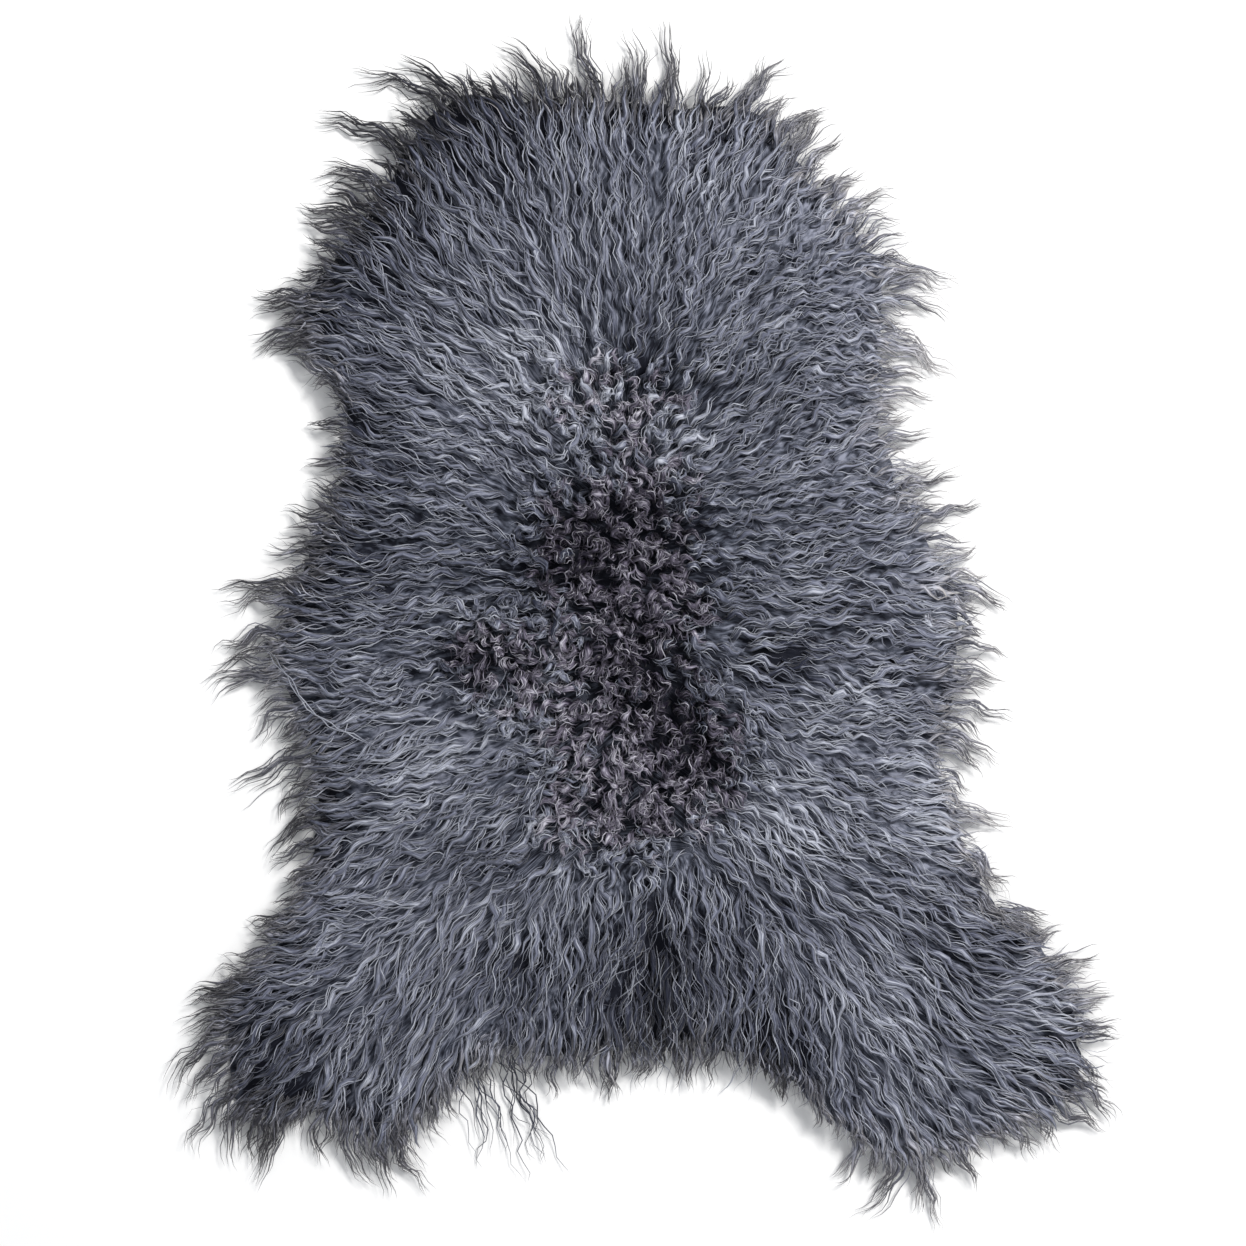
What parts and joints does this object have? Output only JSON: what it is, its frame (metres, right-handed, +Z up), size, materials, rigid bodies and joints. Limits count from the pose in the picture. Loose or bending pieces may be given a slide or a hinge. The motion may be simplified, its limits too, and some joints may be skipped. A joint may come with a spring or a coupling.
{
  "type": "sheepskin rug",
  "caption": "Natural sheepskin rug: one flat pelt with long, wavy grey wool combed out from the back to a ragged rim of locks.",
  "frame": {"origin": "middle of the pelt's bounding box, on its flat underside", "axes": "+Y towards the neck end, +X to the right of it seen from the wool side, +Z up out of the wool"},
  "size_m": [0.896, 1.0992, 0.0518],
  "materials": {
    "wool": "long wavy wool, slate grey, darker along the back, soft sheen",
    "hide": "undyed suede, matt"
  },
  "bodies": {
    "root": {"sheepskin": "wool"}
  },
  "joints": []
}
